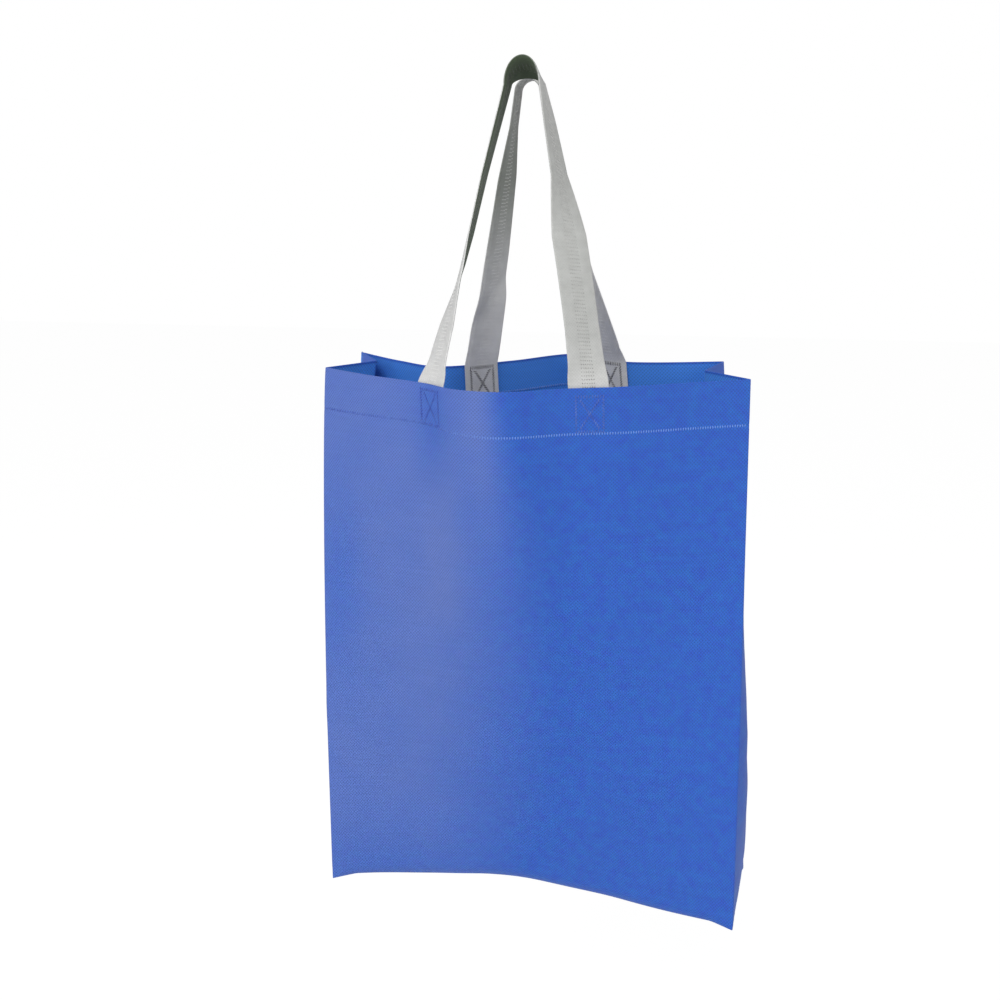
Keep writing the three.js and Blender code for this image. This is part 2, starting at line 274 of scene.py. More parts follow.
def soft_wall(around, depth):
    """The wall with its pressed folds rounded a little, and its foot rolled under."""
    depth = np.asarray(depth, float)
    if depth.max() < PANEL_HEIGHT - ROLL:
        return np.mean([wall(around + k * FOLD_SOFTNESS, depth) for k in SPREAD], 0)
    roll = ROLL * np.clip(to_fold(around) / (2 * ROLL), 0, 1)
    total = 0
    for k in SPREAD:
        for m in SPREAD[::3]:
            a, d = around + m * FOLD_SOFTNESS, depth + k * roll
            inside = (d <= PANEL_HEIGHT)[..., None]
            total = total + np.where(inside, wall(a, d), below(a, np.maximum(d, PANEL_HEIGHT)))
    return total / (len(SPREAD) * len(SPREAD[::3]))


def soft_bottom(p, q):
    """The bottom, curving up into the walls. Its four corners stay pointed, as they were folded."""
    w, g = PANEL_WIDTH, GUSSET_DEPTH
    roll_q = ROLL * np.clip(np.minimum(p, w - p) / (2 * ROLL), 0, 1)
    roll_p = ROLL * np.clip(np.minimum(q, g - q) / (2 * ROLL), 0, 1)
    return np.mean([net(p + m * roll_p, q + k * roll_q) for k in SPREAD for m in SPREAD], 0)


draws = np.random.default_rng(7)
ripple_angles = draws.uniform(0, np.pi, RIPPLE_COUNT)
ripple_lengths = draws.uniform(*RIPPLE_LENGTHS, RIPPLE_COUNT)
ripple_phases = draws.uniform(0, 2 * np.pi, RIPPLE_COUNT)


def ripple(around, depth):
    """The slight unevenness of a sheet that was folded flat and hangs empty."""
    total = 0
    for angle, length, phase in zip(ripple_angles, ripple_lengths, ripple_phases):
        run = around * math.cos(angle) + depth * math.sin(angle)
        total = total + length * np.sin(2 * np.pi * run / length + phase)
    # The folds, the doubled hem and the rolled foot hold the sheet straighter.
    off_folds = 1 - np.exp(-((to_fold(around) / 18) ** 2))
    off_ends = np.clip(depth / 60, 0.15, 1) * np.clip((PANEL_HEIGHT - ROLL - depth) / 20, 0, 1)
    return RIPPLE_HEIGHT * total * off_folds * off_ends


def hem_line(around):
    """How far down the hem is welded: the line strays a little, as it was steered by hand."""
    return HEM_WELD + stations(HEM_WELD_STRAY, np.mod(around, AROUND))


def hem_groove(around, depth):
    """The line where the hem is welded down is pressed in a little."""
    return GROOVE_DEPTH * np.exp(-(((depth - hem_line(around)) / GROOVE_WIDTH) ** 2))


def surface(around, depth, inset=0.0):
    """The finished wall and its outward normals."""
    around, depth = np.broadcast_arrays(np.asarray(around, float), np.asarray(depth, float))
    place = soft_wall(around, depth)
    near = 0.8  # how far off the neighbours are that give the normals
    sideways = soft_wall(around + near, depth) - soft_wall(around - near, depth)
    down = soft_wall(around, depth + near) - soft_wall(around, np.maximum(depth - near, 0))
    normal = np.cross(down, sideways)
    normal /= np.linalg.norm(normal, axis=-1, keepdims=True)
    move = ripple(around, depth) - hem_groove(around, depth) - inset
    return place + normal * move[..., None], normal


# ---- mesh helpers


def piece(name, points, faces, uvs=None, material=None, values=None, edges=()):
    """An object from points in millimetres. Its values are attributes: a number or a vector for each
    point."""
    mesh = bpy.data.meshes.new(name)
    mesh.from_pydata((np.asarray(points) * MM).tolist(), list(edges), faces)
    mesh.shade_smooth()
    if uvs is not None:
        layer = mesh.uv_layers.new(name="cloth")
        index = np.empty(len(mesh.loops), np.int32)
        mesh.loops.foreach_get("vertex_index", index)
        layer.uv.foreach_set("vector", (np.asarray(uvs)[index] * MM).astype(np.float32).ravel())
    for attribute, numbers in (values or {}).items():
        numbers = np.asarray(numbers, np.float32)
        kind, field = ("FLOAT_VECTOR", "vector") if numbers.ndim == 2 else ("FLOAT", "value")
        mesh.attributes.new(attribute, kind, "POINT").data.foreach_set(field, numbers.ravel())
    obj = bpy.data.objects.new(name, mesh)
    bpy.context.scene.collection.objects.link(obj)
    if material is not None:
        mesh.materials.append(material)
    return obj


def ring_faces(rows, columns):
    """The faces of rings of points, each ring above the next."""
    return [
        (j + i, j + columns + i, j + columns + (i + 1) % columns, j + (i + 1) % columns)
        for j in range(0, (rows - 1) * columns, columns)
        for i in range(columns)
    ]


def finish_mesh(obj):
    """Applies the piece's modifiers, so that its mesh is what is seen."""
    graph = bpy.context.evaluated_depsgraph_get()
    baked = bpy.data.meshes.new_from_object(
        obj.evaluated_get(graph), preserve_all_data_layers=True, depsgraph=graph
    )
    old = obj.data
    obj.modifiers.clear()
    obj.data = baked
    baked.name = obj.name
    bpy.data.meshes.remove(old)


def linear(hex_colour):
    """An sRGB hex colour as the linear one that shaders take."""
    parts = [int(hex_colour[i : i + 2], 16) / 255 for i in (1, 3, 5)]
    return [c / 12.92 if c <= 0.04045 else ((c + 0.055) / 1.055) ** 2.4 for c in parts] + [1.0]


def add(tree, kind, settings=None, **inputs):
    """Adds a node with its settings. An input, given by its name or as i and its number, is a value
    or another node's socket."""
    node = tree.nodes.new(kind)
    for key, value in (settings or {}).items():
        setattr(node, key, value)
    for key, value in inputs.items():
        by_number = key[0] == "i" and key[1:].isdigit()
        socket = node.inputs[int(key[1:])] if by_number else node.inputs[key.replace("_", " ")]
        if isinstance(value, bpy.types.NodeSocket):
            tree.links.new(value, socket)
        else:
            socket.default_value = value
    return node


def new_material(name):
    material = bpy.data.materials.new(name)
    material.use_nodes = True
    material.node_tree.nodes.clear()
    return material, material.node_tree


def painted(tree, name):
    """What a point attribute of the piece says."""
    node = add(tree, "ShaderNodeAttribute", {"attribute_type": "GEOMETRY", "attribute_name": name})
    return node.outputs["Fac"]


def noise(tree, place, size, detail, roughness):
    """Random patches of about a size in millimetres."""
    scale = 1 / (size * MM)
    return add(tree, "ShaderNodeTexNoise", Vector=place, Scale=scale, Detail=detail, Roughness=roughness)


def mixed(tree, share, first, second, blend="MIX"):
    settings = {"data_type": "RGBA", "blend_type": blend}
    return add(tree, "ShaderNodeMix", settings, Factor=share, i6=first, i7=second).outputs[2]


# ---- the materials

EMBOSS_PITCH = 1.9  # of the sheet: a little coarser than the real lattice of about 1.8 mm
LIGHT_THROUGH = 0.2  # the share of light that passes the cloth


def spunbond(name, light, dark, painted_light, attribute, drifting, emboss_pitch, pressing, inner=None):
    """Spunbond polypropylene: filaments laid down at random and bonded by a heated roller with a lattice
    of small points. That gives a matt cloth with a fine diamond grain, a slight glint on the bonded
    points and cloudy patches where the filaments lie thicker. It is thin enough to let some light
    through. The tint colour is painted light, laid on by the attribute and drifting a little from place
    to place: a painted sheen on the blue sheet, painted shade on the grey strips. The inner colour is
    painted light too: the hem's inside is painted brighter, standing in for the light that comes through
    the cloth from behind."""
    material, tree = new_material(name)
    cloth = add(tree, "ShaderNodeUVMap", {"uv_map": "cloth"}).outputs["UV"]

    lattice = add(
        tree, "ShaderNodeMapping", {"vector_type": "POINT"}, Vector=cloth,
        Rotation=(0, 0, math.radians(45)), Scale=[1 / (emboss_pitch * MM)] * 3,
    )
    bonds = add(
        tree, "ShaderNodeTexVoronoi", {"voronoi_dimensions": "2D", "feature": "F1"},
        Vector=lattice.outputs[0], Scale=1.0, Randomness=0.0,
    )
    bond = add(
        tree, "ShaderNodeMapRange", {"interpolation_type": "SMOOTHSTEP"},
        Value=bonds.outputs["Distance"], From_Min=0.46, From_Max=0.2,
    ).outputs[0]
    clouds = noise(tree, cloth, 9, 5.0, 0.62)
    drifts = noise(tree, cloth, 38, 3.0, 0.55)
    fibres = noise(tree, cloth, 0.9, 3.0, 0.7)
    slanted = add(
        tree, "ShaderNodeMapping", {"vector_type": "POINT"}, Vector=cloth,
        Rotation=(0, 0, math.radians(22)), Scale=(1 / (45 * MM), 1 / (2.6 * MM), 1),
    )
    streaks = add(tree, "ShaderNodeTexNoise", Vector=slanted.outputs[0], Scale=1.0, Detail=2.0)

    cloudy = add(tree, "ShaderNodeMapRange", Value=clouds.outputs[0], From_Min=0.34, From_Max=0.66)
    ground = mixed(tree, cloudy.outputs[0], linear(dark), linear(light))
    share = painted(tree, attribute)
    drift = add(tree, "ShaderNodeMapRange", Value=drifts.outputs[0], To_Min=-drifting, To_Max=drifting)
    painted_light_share = add(
        tree, "ShaderNodeMath", {"operation": "MULTIPLY_ADD", "use_clamp": True},
        i0=drift.outputs[0], i1=share, i2=share,
    )
    with_painted_light = mixed(tree, painted_light_share.outputs[0], ground, linear(painted_light))
    if inner:
        with_painted_light = mixed(tree, painted(tree, "inner"), with_painted_light, linear(inner))
    grain = add(
        tree, "ShaderNodeMapRange", Value=fibres.outputs[0],
        From_Min=0.25, From_Max=0.75, To_Min=0.92, To_Max=1.16,
    )
    streaked = add(
        tree, "ShaderNodeMapRange", Value=streaks.outputs[0],
        From_Min=0.3, From_Max=0.7, To_Min=-0.03, To_Max=0.03,
    )
    uneven = add(
        tree, "ShaderNodeMath", {"operation": "ADD"}, i0=grain.outputs[0], i1=streaked.outputs[0]
    )
    pressed = add(
        tree, "ShaderNodeMath", {"operation": "MULTIPLY_ADD"}, i0=bond, i1=pressing, i2=uneven.outputs[0]
    )
    shade = mixed(tree, 1.0, with_painted_light, pressed.outputs[0], "MULTIPLY")

    height = add(
        tree, "ShaderNodeMath", {"operation": "MULTIPLY_ADD"}, i0=bond, i1=-1.0, i2=fibres.outputs[0]
    )
    bump = add(tree, "ShaderNodeBump", Strength=0.35, Distance=0.12 * MM, Height=height.outputs[0])
    gloss = add(tree, "ShaderNodeMapRange", Value=bond, To_Min=0.78, To_Max=0.56)
    shader = add(
        tree, "ShaderNodeBsdfPrincipled", Base_Color=shade, Roughness=gloss.outputs[0], IOR=1.49,
        Normal=bump.outputs[0], Sheen_Weight=0.12, Sheen_Roughness=0.4,
    )
    through = add(tree, "ShaderNodeBsdfTranslucent", Color=with_painted_light)
    thin = add(
        tree, "ShaderNodeMixShader", i0=LIGHT_THROUGH, i1=shader.outputs[0], i2=through.outputs[0]
    )
    add(tree, "ShaderNodeOutputMaterial", Surface=thin.outputs[0])
    return material


def fused(name, pale, deep):
    """Polypropylene melted by an ultrasonic horn, then chilled: denser and glossier than the cloth
    around it. A mark is pale where it catches the light and deeper where it doesn't, which its tone
    tells from 0 to 1."""
    material, tree = new_material(name)
    place = add(tree, "ShaderNodeTexCoord").outputs["Object"]
    uneven = add(tree, "ShaderNodeTexNoise", Vector=place, Scale=1 / (4 * MM), Detail=2.0)
    spread = add(tree, "ShaderNodeMapRange", Value=uneven.outputs[0], To_Min=-0.4, To_Max=0.4)
    share = add(
        tree, "ShaderNodeMath", {"operation": "ADD", "use_clamp": True},
        i0=painted(tree, "tone"), i1=spread.outputs[0],
    )
    colour = mixed(tree, share.outputs[0], linear(deep), linear(pale))
    shader = add(tree, "ShaderNodeBsdfPrincipled", Base_Color=colour, Roughness=0.42, IOR=1.49)
    add(tree, "ShaderNodeOutputMaterial", Surface=shader.outputs[0])
    return material


# The blue sheet's tint is a painted sheen, paler where the front faces the light from the left. Its inner
# colour is painted light on the hem's inside.
blue_sheet = spunbond(
    "spunbond_polypropylene_blue", light="#2B6CCE", dark="#2E5DCC", painted_light="#657FCB", attribute="painted_sheen",
    drifting=0.25, emboss_pitch=EMBOSS_PITCH, pressing=-0.38, inner="#4690F0",
)
# The grey strips' olive tint is painted shade, with a painted green reflection near the handles' tops.
grey_strip = spunbond(
    "spunbond_polypropylene_grey", light="#DADAD9", dark="#CFCFCE", painted_light="#4B5A42", attribute="painted_shade",
    drifting=0.04, emboss_pitch=1.6, pressing=-0.12,
)
blue_weld = fused("fused_polypropylene_blue", pale="#7298E2", deep="#17359A")
grey_weld = fused("fused_polypropylene_grey", pale="#E4E4E2", deep="#5E5E5C")


# ---- the camera, at the photograph's viewing angle

camera = bpy.data.objects.new("camera", bpy.data.cameras.new("camera"))
camera.location = CAMERA_PLACE
camera.rotation_euler = (math.radians(90 - CAMERA_PITCH), 0, math.radians(CAMERA_TURN))
camera.data.lens = CAMERA_LENS
camera.data.sensor_width = CAMERA_FRAME
camera.data.clip_end = 60
bpy.context.scene.collection.objects.link(camera)
bpy.context.scene.camera = camera


# ---- the body: one sheet with its hem turned in


def spaced(start, end, step):
    return np.linspace(start, end, max(1, round((end - start) / step)) + 1)


def between_folds(width, step):
    """Places across a stretch between two folds, closer together near the folds."""
    near = [0, 0.7, 1.5, 2.5, 4.0, 6.0]
    middle = spaced(8.5, width - 8.5, step)
    return [*near, *middle, *[width - x for x in near[:0:-1]]]


def ring_places():
    """Places round the bag. A gusset has a fold down its middle too."""
    w, g = PANEL_WIDTH, GUSSET_DEPTH
    half = between_folds(g / 2, 5)
    columns = []
    for start in (0, w + g):
        columns += [start + x for x in between_folds(w, 3.2)]
        columns += [start + w + x for x in half] + [start + w + g / 2 + x for x in half]
    return np.array(columns)


def sheet_rows():
    """The rows down the sheet, as depth and inset: up the turned-in hem, over the rim and down. With
    them comes how many there are before the sheet faces outward."""
    r = HEM_FOLD
    rows = [(d, 2 * r) for d in (HEM_DEPTH, 39.2, 37.5, 34, 29, 23, 17, 11, 6, 2.5, 1.0)]
    for angle in (180, 150, 120, 90, 60, 30, 0):
        a = math.radians(angle)
        rows.append((r - r * math.sin(a), r - r * math.cos(a)))
    turned_in = len(rows)
    rows += [(d, 0) for d in (1.0, 2.5, 6, 11, 17, 23)]
    rows += [(d, 0) for d in np.arange(26.5, 38.5, 0.9)] + [(42, 0)]
    rows += [(d, 0) for d in spaced(47, 400, 4.8)]
    rows += [(d, 0) for d in spaced(403, PANEL_HEIGHT, 2.1)]
    return rows, turned_in


def bag_sheet():
    """The sheet's points, faces and places on the flat cloth. Depths in the hem count as minus."""
    columns = ring_places()
    rows, turned_in = sheet_rows()
    n = len(columns)
    walls = [surface(columns, d, inset)[0] for d, inset in rows]
    uvs = [
        np.stack([columns, np.full(n, -d if k < turned_in else d)], -1)
        for k, (d, _) in enumerate(rows)
    ]
    faces = ring_faces(len(rows), n)

    # The bottom: its long edges are the front and back folds, its short ones the gussets' ends.
    w, g = PANEL_WIDTH, GUSSET_DEPTH
    places_p = [*columns[columns < w], w]
    places_q = [*(columns[(columns >= w) & (columns < w + g)] - w), g]
    last_p, last_q = len(places_p) - 1, len(places_q) - 1
    first = (len(rows) - 1) * n
    inner_p, inner_q = np.meshgrid(places_p[1:-1], places_q[1:-1])

    def at(j, i):
        if j == 0:
            return first + i
        if i == last_p:
            return first + last_p + j
        if j == last_q:
            return first + 2 * last_p + last_q - i
        if i == 0:
            return first + (n - j) % n
        return len(rows) * n + (j - 1) * (last_p - 1) + i - 1

    faces += [
        (at(j, i), at(j + 1, i), at(j + 1, i + 1), at(j, i + 1))
        for j in range(last_q)
        for i in range(last_p)
    ]
    flat = soft_bottom(inner_p.ravel(), inner_q.ravel())
    points = np.concatenate([*walls, flat])
    uvs = np.concatenate([*uvs, np.stack([inner_p.ravel(), PANEL_HEIGHT + inner_q.ravel()], -1)])
    return points, faces, uvs


def painted_sheen(s, d):
    """The painted sheen on the front's cloth, paler where it faces the light from the left: all of its
    left side, and in soft patches. A place is s to the right of the left fold and d down from the rim."""
    t = np.clip(d / PANEL_HEIGHT, 0, 1)
    near_rim = np.exp(-((d / 80) ** 2))
    full = 118 - 40 * t + 40 * near_rim
    none = 222 - 42 * near_rim
    base = np.clip((none - s) / (none - full), 0, 1)
    base = 0.78 * base * base * (3 - 2 * base)
    # Patches of more or less painted sheen, by their place, their reach across and down, and how much
    # paler or deeper they are.
    for s0, d0, ws, wd, gain in (
        (118, 20, 20, 45, -0.5),
        (164, 45, 12, 70, 0.28),
        (115, 135, 28, 55, 0.2),
        (14, 170, 30, 80, -0.35),
        (130, 330, 50, 70, -0.15),
        (60, 430, 120, 60, -0.45),
    ):
        base = base + gain * np.exp(-(((s - s0) / ws) ** 2) - (((d - d0) / wd) ** 2))
    return np.clip(base, 0, 1)


# The hem's inside is painted brighter, as painted light for the light that comes through the cloth from
# behind.
TURN_IN = 1.5  # the rim's own edge, down to here, keeps the outer colour
points, faces, uvs = bag_sheet()
on_front = (uvs[:, 0] < PANEL_WIDTH) & (np.abs(uvs[:, 1]) <= PANEL_HEIGHT)
# Where the front is painted paler it is painted sheen, and its deeper patches are painted shade.
bag = piece(
    "bag_sheet", points, faces, uvs, blue_sheet,
    {"painted_sheen": painted_sheen(uvs[:, 0], np.abs(uvs[:, 1])) * on_front, "inner": uvs[:, 1] < -TURN_IN},
)
walled = bag.modifiers.new("thickness", "SOLIDIFY")
walled.thickness = SHEET * MM
finish_mesh(bag)
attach(bag, "root")
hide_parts("bag_body")


# ---- the handles: strips folded in three and pressed flat

# A leg's twist tells what share of its turn, from flat on the hem to square across its top, it has
# made at what share of the way up. The slant is how much later the right edge makes it than the left
# one, which ends at SLANT_END. The curl is how far the strip is cupped across, in degrees, and its
# bow how far it bends sideways. The tilt is how far a handle's top leans, in degrees, and the lift
# how high it lies.
HANDLES = {
    "front": dict(
        legs=(
            dict(
                twist=[(0, 0.05), (0.08, 0.3), (0.2, 0.42), (0.35, 0.77), (0.5, 0.91), (1, 1)],
                slant=0, curl=[(0.15, 0), (0.4, -30), (0.7, 0)], bow=0.4,
            ),
            dict(
                twist=[(0, 0), (0.08, 0.24), (0.2, 0.32), (0.5, 0.32), (0.7, 0.79), (0.88, 0.89), (1, 1)],
                slant=0, curl=[(0.1, 0), (0.5, 14), (0.9, 0)], bow=3,
            ),
        ),
        tilt=-29, lift=8, aside=0,
    ),
    "back": dict(
        legs=(
            dict(
                twist=[
                    (0, 0), (0.225, 0.1), (0.285, 0.44), (0.4, 0.46), (0.7, 0.67), (0.88, 0.98), (1, 1),
                ],
                slant=0.26, curl=[(0, 0), (1, 0)], bow=-0.5,
            ),
            dict(
                twist=[
                    (0, 0), (0.08, 0.08), (0.2, 0.35), (0.35, 0.66), (0.5, 0.79), (0.88, 0.93), (1, 1),
                ],
                slant=0, curl=[(0, 0), (1, 0)], bow=1,
            ),
        ),
        tilt=0, lift=HANDLE_THICKNESS, aside=-1,
    ),
}
SLANT_END = 0.8
LAP_STEPS, LEG_STEPS, BIGHT_STEPS = 9, 70, 34
EDGE_ROUND = HANDLE_THICKNESS / 2
BAND = 5  # half the width of the spot-welded band down a strip's middle
BAND_PRESS = 0.12  # how much the spot welds thin either side there
FLAP_EDGE = -12.9  # where the third layer ends on the inner side
FLAP_STEP = 0.3
UNDERSIDE_UV = 40  # sets the inner side's pattern apart from the outer side's
LAP_AIR = 0.25  # between the hem and a handle's end
half_places = [0, 2.3, BAND - 0.6, BAND, BAND + 0.6, 8, 10.5, 12.7, 13.1, 13.8, 14.15, 14.38, 14.5]
ACROSS = np.array([-x for x in half_places[:0:-1]] + half_places)
MIDDLE = len(half_places) - 1
# From the bag's outer face in to the middle of a handle's end.
LAYERS_IN = 2 * HEM_FOLD + SHEET + LAP_AIR + HANDLE_THICKNESS / 2


def round_place(face, along):
    return along if face == "front" else 2 * PANEL_WIDTH + GUSSET_DEPTH - along


def handle_rows(face):
    """The middle surface of a strip, as rows of points across it."""
    way = HANDLES[face]
    outward = -1 if face == "front" else 1
    radius = BIGHT_RADIUS[face]

    def leg(side, twist, slant, curl, bow):
        middle = handle_middle(face, side)
        flip = side * -outward
        rows = []
        for j in range(LAP_STEPS + 1):
            depth = HANDLE_LAP * (1 - j / LAP_STEPS)
            along = round_place(face, middle + ACROSS * flip)
            rows.append(surface(along, np.full(len(ACROSS), depth), LAYERS_IN)[0])
        foot = rows[-1]
        turn0 = math.atan2(foot[-1][1] - foot[0][1], foot[-1][0] - foot[0][0])
        first = foot[MIDDLE]
        end = np.array([way["aside"] + side * radius, TOP_PLACE[face], way["lift"] - radius])
        for j in range(1, LEG_STEPS):
            t = j / LEG_STEPS
            centre = first + (end - first) * t
            centre[0] += side * bow * math.sin(math.pi * t)
            between = (ACROSS[1:] + ACROSS[:-1]) / 2 / HANDLE_WIDTH
            share = stations(twist, t - slant * max(0, 1 - t / SLANT_END) * between)
            turn = turn0 + (math.pi / 2 - turn0) * share + np.radians(stations(curl, t)) * between
            steps = np.diff(ACROSS)[:, None] * np.stack([np.cos(turn), np.sin(turn), 0 * turn], -1)
            line = np.concatenate([[[0, 0, 0]], np.cumsum(steps, 0)])
            settle = min(1, j / 4)  # the first rows above the hem take over its curve
            bent = line - line[MIDDLE]
            flat = foot - foot[MIDDLE]
            rows.append(centre + flat * (1 - settle) + bent * settle)
        return rows

    bight = []
    for j in range(BIGHT_STEPS + 1):
        angle = math.pi * (1 - j / BIGHT_STEPS)
        tip = math.radians(way["tilt"]) * math.sin(angle)
        across = way["aside"] + radius * math.cos(angle)
        up = way["lift"] - radius + radius * math.sin(angle)
        centre = np.array((across, TOP_PLACE[face], up))
        bight.append(centre + np.outer(ACROSS, (0, math.cos(tip), math.sin(tip))))
    rows = leg(-1, **way["legs"][0]) + bight + leg(1, **way["legs"][1])[::-1]
    return np.array(rows)


def strip_shape(face):
    """A strip's rows, its outer side's normals, and how thick it is either way of its middle."""
    rows = handle_rows(face)
    normals = np.cross(np.gradient(rows, axis=0), np.gradient(rows, ACROSS, axis=1))
    normals /= np.linalg.norm(normals, axis=-1, keepdims=True)
    edge = np.clip((np.abs(ACROSS) - ACROSS[-1] + EDGE_ROUND) / EDGE_ROUND, 0, 1)
    half = EDGE_ROUND * np.sqrt(1 - edge**2)
    band = BAND_PRESS * np.clip((BAND + 0.6 - np.abs(ACROSS)) / 1.2, 0, 1)
    flap = FLAP_STEP * (ACROSS < FLAP_EDGE) * (edge < 1)
    return rows, normals, half - band, half - band - flap


# How much painted shade a strip has, by distance along it from its top, minus on the left leg.
# Underneath, the front one is painted olive from its left leg to its top, as painted shade with a painted
# green reflection. Above, its top has painted shade, and its right leg a little. The back one has painted
# shade on the upper half of its left leg.


def painted_shade_under(run):
    return np.interp(run, [-205, -185, -60, 10, 24], [0, 0.92, 0.94, 1, 0])


def painted_shade_over(run):
    return 0.8 * np.exp(-(((run + 4) / 16) ** 4)) + 0.24 * np.exp(-(((run - 122) / 108) ** 6))


def painted_shade_back(run):
    return 0.6 * np.exp(-(((run + 75) / 55) ** 2))


def strip_piece(face):
    rows, normals, outer, inner = strip_shape(face)
    over = rows + normals * outer[:, None]
    under = rows - normals * inner[:, None]
    ring = np.concatenate([over, under[:, -2:0:-1]], 1)
    count = ring.shape[1]
    run = lengths(rows[:, MIDDLE])
    faces = [corners[::-1] for corners in ring_faces(len(rows), count)]
    m = len(ACROSS)

    def opposite(i):
        return (count - i) % count if 0 < i < m - 1 else i

    for row, order in ((0, 1), (len(rows) - 1, -1)):
        for i in range(m - 1):
            corners = [row * count + k for k in (i, i + 1, opposite(i + 1), opposite(i))]
            faces.append(tuple(dict.fromkeys(corners))[::order])

    ring_across = np.concatenate([ACROSS, ACROSS[-2:0:-1]])
    within = np.concatenate([np.zeros(m), np.ones(m - 2)])  # 1 on the strip's inner side
    s, r = np.broadcast_arrays(ring_across[None, :], run[:, None])
    uvs = np.stack([s + UNDERSIDE_UV * within[None, :], r], -1).reshape(-1, 2)
    from_top = r - run[-1] / 2
    # Painted shade on the strips, olive underneath the front one, from the tables above.
    painted_shade = np.where(within[None, :] > 0, painted_shade_under(from_top), painted_shade_over(from_top))
    if face == "back":
        painted_shade = painted_shade_back(from_top)
    obj = piece(f"{face}_strip", ring.reshape(-1, 3), faces, uvs, grey_strip, {"painted_shade": painted_shade.ravel()})
    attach(obj, "root")
    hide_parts(f"{face}_handle")


for face in ("front", "back"):
    strip_piece(face)


# ---- welds: small marks set along lines by one node tree


def weld_tree():
    """Marks spaced along lines on the cloth. Each is a flattened sphere that lies flat on the cloth,
    with its length across the line unless it is turned."""
    tree = bpy.data.node_groups.new("weld_marks", "GeometryNodeTree")
    tree.is_modifier = True
    tree.interface.new_socket("Geometry", in_out="INPUT", socket_type="NodeSocketGeometry")
    for name in ("Pitch", "Length", "Width", "Height"):
        tree.interface.new_socket(name, in_out="INPUT", socket_type="NodeSocketFloat")
    tree.interface.new_socket("Material", in_out="INPUT", socket_type="NodeSocketMaterial")
    tree.interface.new_socket("Geometry", in_out="OUTPUT", socket_type="NodeSocketGeometry")
    given = tree.nodes.new("NodeGroupInput").outputs
    curve = add(tree, "GeometryNodeMeshToCurve", Mesh=given["Geometry"])
    stops = add(
        tree, "GeometryNodeResampleCurve", {"mode": "LENGTH"}, Curve=curve.outputs[0],
        Length=given["Pitch"],
    )
    outward = add(tree, "GeometryNodeInputNamedAttribute", {"data_type": "FLOAT_VECTOR"}, Name="outward")
    turned = add(tree, "GeometryNodeInputNamedAttribute", {"data_type": "FLOAT"}, Name="turn")
    along = add(tree, "GeometryNodeInputTangent")
    on_cloth = add(
        tree, "FunctionNodeAxesToRotation", {"primary_axis": "Z", "secondary_axis": "X"},
        i0=outward.outputs["Attribute"], i1=along.outputs[0],
    )
    turn = add(
        tree, "FunctionNodeAxisAngleToRotation", Axis=(0, 0, 1), Angle=turned.outputs["Attribute"]
    )
    way = add(
        tree, "FunctionNodeRotateRotation", {"rotation_space": "LOCAL"},
        i0=on_cloth.outputs[0], i1=turn.outputs[0],
    )
    size = add(tree, "ShaderNodeCombineXYZ", X=given["Width"], Y=given["Length"], Z=given["Height"])
    mark = add(tree, "GeometryNodeMeshIcoSphere", Radius=0.5, Subdivisions=1)
    marks = add(
        tree, "GeometryNodeInstanceOnPoints", Points=stops.outputs[0], Instance=mark.outputs["Mesh"],
        Rotation=way.outputs[0], Scale=size.outputs[0],
    )
    real = add(tree, "GeometryNodeRealizeInstances", Geometry=marks.outputs[0])
    smooth = add(tree, "GeometryNodeSetShadeSmooth", i0=real.outputs[0])
    finished = add(
        tree, "GeometryNodeSetMaterial", Geometry=smooth.outputs[0], Material=given["Material"]
    )
    tree.links.new(finished.outputs[0], tree.nodes.new("NodeGroupOutput").inputs[0])
    return tree


WELD_TREE = weld_tree()
WELD_INPUTS = {
    item.name: item.identifier for item in WELD_TREE.interface.items_tree if item.in_out == "INPUT"
}


def weld_marks(name, lines, material, pitch, length, width, height):
    """Lines are (points, outward normals, turn of each mark in degrees, tone). Sizes are in
    millimetres."""
    points = np.concatenate([line[0] for line in lines])
    edges, values, start = [], {"outward": [], "turn": [], "tone": []}, 0
    for place, outward, turn, tone in lines:
        count = len(place)
        edges += [(start + i, start + i + 1) for i in range(count - 1)]
        start += count
        values["outward"].append(outward)
        values["turn"].append(np.full(count, math.radians(turn)))
        values["tone"].append(np.broadcast_to(tone, count))
    values = {key: np.concatenate(parts) for key, parts in values.items()}
    obj = piece(name, points, [], edges=edges, values=values)
    modifier = obj.modifiers.new("marks", "NODES")
    modifier.node_group = WELD_TREE
    for key, value in (("Pitch", pitch), ("Length", length), ("Width", width), ("Height", height)):
        modifier[WELD_INPUTS[key]] = value * MM
    modifier[WELD_INPUTS["Material"]] = material
    finish_mesh(obj)
    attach(obj, "root")


def straight(start, end, step=1.5):
    """Places along a straight line on the cloth from one (around, depth) to another."""
    count = max(2, round(math.dist(start, end) / step))
    return [np.linspace(start[k], end[k], count) for k in (0, 1)]


def both_sides(around, depth, tone, thickness, inner_tone):
    """A weld shows on the outer face of the cloth and on its inner one."""
    place, normal = surface(around, depth)
    within, _ = surface(around, depth, thickness)
    return [(place, normal, 0, tone), (within, -normal, 0, inner_tone)]


def hem_tone(around):
    """On the front the weld is pale on the right and deep blue on the left."""
    return np.interp(around, [0, 120, 170, 365], [0.15, 0.3, 0.85, 0.9])


# The line stops short of the front's folds.
hem_lines = []
for start, end in ((1, PANEL_WIDTH - 4), (PANEL_WIDTH + 2, AROUND - 2)):
    around, _ = straight((start, 0), (end, 0))
    hem_lines += both_sides(around, hem_line(around), hem_tone(around), 2 * HEM_FOLD + SHEET, 0.9)
weld_marks("hem_weld", hem_lines, blue_weld, pitch=1.9, length=2.5, width=0.95, height=0.3)

